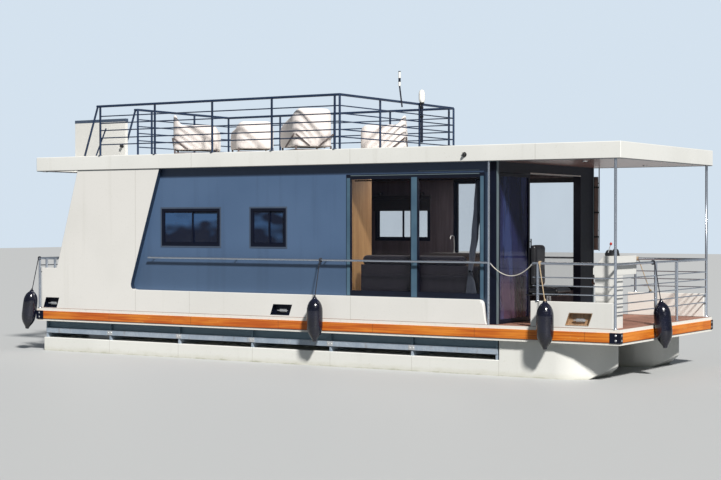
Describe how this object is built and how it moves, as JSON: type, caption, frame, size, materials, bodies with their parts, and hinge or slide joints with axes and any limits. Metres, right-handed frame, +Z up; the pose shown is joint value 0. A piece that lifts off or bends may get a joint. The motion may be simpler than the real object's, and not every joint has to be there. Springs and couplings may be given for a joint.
{
  "type": "houseboat",
  "caption": "Pontoon houseboat with a glazed cabin, roof terrace with rails and chairs, covered foredeck with helm, sliding and hinged doors, stair hatch and a tilting outboard motor.",
  "frame": {"origin": "under the middle of the boat, level with the pontoons' flat bottoms; the waterline is 0.40 m above it", "axes": "+X to the bow, +Y to port, +Z up"},
  "size_m": [10.6264, 3.8606, 4.75],
  "materials": {
    "gelcoat": "satin",
    "wall_blue": "satin",
    "pine": "oiled",
    "deck_brown": "matt",
    "galvanised": "matt",
    "navy_tube": "satin",
    "steel_tube": "satin",
    "dark_frame": "satin",
    "green_frame": "satin",
    "glass": "clear",
    "light_wood": "satin",
    "upholstery": "matt",
    "fender_black": "glossy",
    "motor_black": "glossy",
    "cast_metal": "satin",
    "shell_white": "matt",
    "rope_white": "matt"
  },
  "bodies": {
    "boat": {"pontoon_starboard": "gelcoat", "pontoon_port": "gelcoat", "underframe": "galvanised", "deck": "deck_brown", "rub_rail": "pine", "fairing_starboard": "gelcoat", "fairing_port": "gelcoat", "fore_bulwark_starboard": "gelcoat", "fore_bulwark_port": "gelcoat", "side_wall_starboard": "wall_blue", "side_wall_port_aft": "wall_blue", "side_wall_port_fore": "wall_blue", "saloon_frame_starboard": "green_frame", "saloon_frame_port": "green_frame", "saloon_glass_starboard": "glass", "saloon_glass_port": "glass", "front_wall": "dark_frame", "door_fixed_frame": "dark_frame", "door_fixed_glass": "glass", "stern_wall": "gelcoat", "joinery": "light_wood", "sofa": "upholstery", "roof": "gelcoat", "stair": "steel_tube", "terrace_rail_starboard": "navy_tube", "terrace_rail_port": "navy_tube", "terrace_rail_front": "navy_tube", "terrace_rail_aft": "navy_tube", "antenna": "dark_frame", "radome": "shell_white", "fore_rail_starboard": "steel_tube", "fore_rail_port": "steel_tube", "stern_rail": "steel_tube", "cabin_rail_starboard": "steel_tube", "cabin_rail_port": "steel_tube", "helm_console": "gelcoat", "helm_seat": "upholstery", "motor_clamp": "cast_metal", "fender_starboard_mid": "fender_black", "fender_starboard_fore": "fender_black", "fender_port_mid": "fender_black", "fender_port_fore": "fender_black", "fender_bow": "fender_black", "fender_stern": "fender_black", "chair_1": "shell_white", "chair_2": "shell_white", "chair_3": "shell_white", "chair_4": "shell_white", "gate_rope": "rope_white"},
    "door_middle": {"door_middle_frame": "dark_frame", "door_middle_glass": "glass"},
    "door_leading": {"door_leading_frame": "dark_frame", "door_leading_glass": "glass"},
    "stern_door": {"stern_door": "gelcoat"},
    "hatch_lid": {"hatch_lid": "gelcoat"},
    "bow_gate": {"bow_gate": "steel_tube"},
    "steering_wheel": {"steering_wheel": "motor_black"},
    "motor_swivel": {"motor_swivel": "cast_metal"},
    "motor": {"motor": "motor_black"},
    "propeller": {"propeller": "cast_metal"}
  },
  "joints": [
    {"name": "front_door_slide", "type": "slide", "parent": "boat", "child": "door_leading", "axis": [0, 1, 0], "range_m": [0, 1.69]},
    {"name": "middle_leaf_slide", "type": "slide", "parent": "boat", "child": "door_middle", "axis": [0, 1, 0], "range_m": [0, 0.845]},
    {"name": "stern_door_hinge", "type": "hinge", "parent": "boat", "child": "stern_door", "pos_m": [-3.8593, 1.24, 2], "axis": [0, 0, -1], "range_deg": [0, 100]},
    {"name": "hatch_lid_hinge", "type": "hinge", "parent": "boat", "child": "hatch_lid", "pos_m": [-4.39, -0.93, 3.5223], "axis": [1, 0, 0], "range_deg": [0, 90]},
    {"name": "bow_gate_hinge", "type": "hinge", "parent": "boat", "child": "bow_gate", "pos_m": [4.985, 0.49, 1.6], "axis": [0, 0, -1], "range_deg": [0, 90]},
    {"name": "motor_tilt", "type": "hinge", "parent": "boat", "child": "motor_swivel", "pos_m": [-4.61, 0, 0.915], "axis": [0, 1, 0], "range_deg": [0, 65]},
    {"name": "motor_steer", "type": "hinge", "parent": "motor_swivel", "child": "motor", "pos_m": [-4.68, 0, 0.75], "axis": [0, 0, 1], "range_deg": [-30, 30]},
    {"name": "wheel_turn", "type": "hinge", "parent": "boat", "child": "steering_wheel", "pos_m": [4.52, -1.13, 1.8], "axis": [-0.9397, 0, 0.3419], "range_deg": [-540, 540]},
    {"name": "propeller_spin", "type": "hinge", "parent": "motor", "child": "propeller", "pos_m": [-4.995, 0, 0.23], "axis": [1, 0, 0], "continuous": true}
  ],
  "couplings": [
    {"joint": "middle_leaf_slide", "follows": "front_door_slide", "ratio": 0.5},
    {"joint": "wheel_turn", "follows": "motor_steer", "ratio": -18}
  ]
}
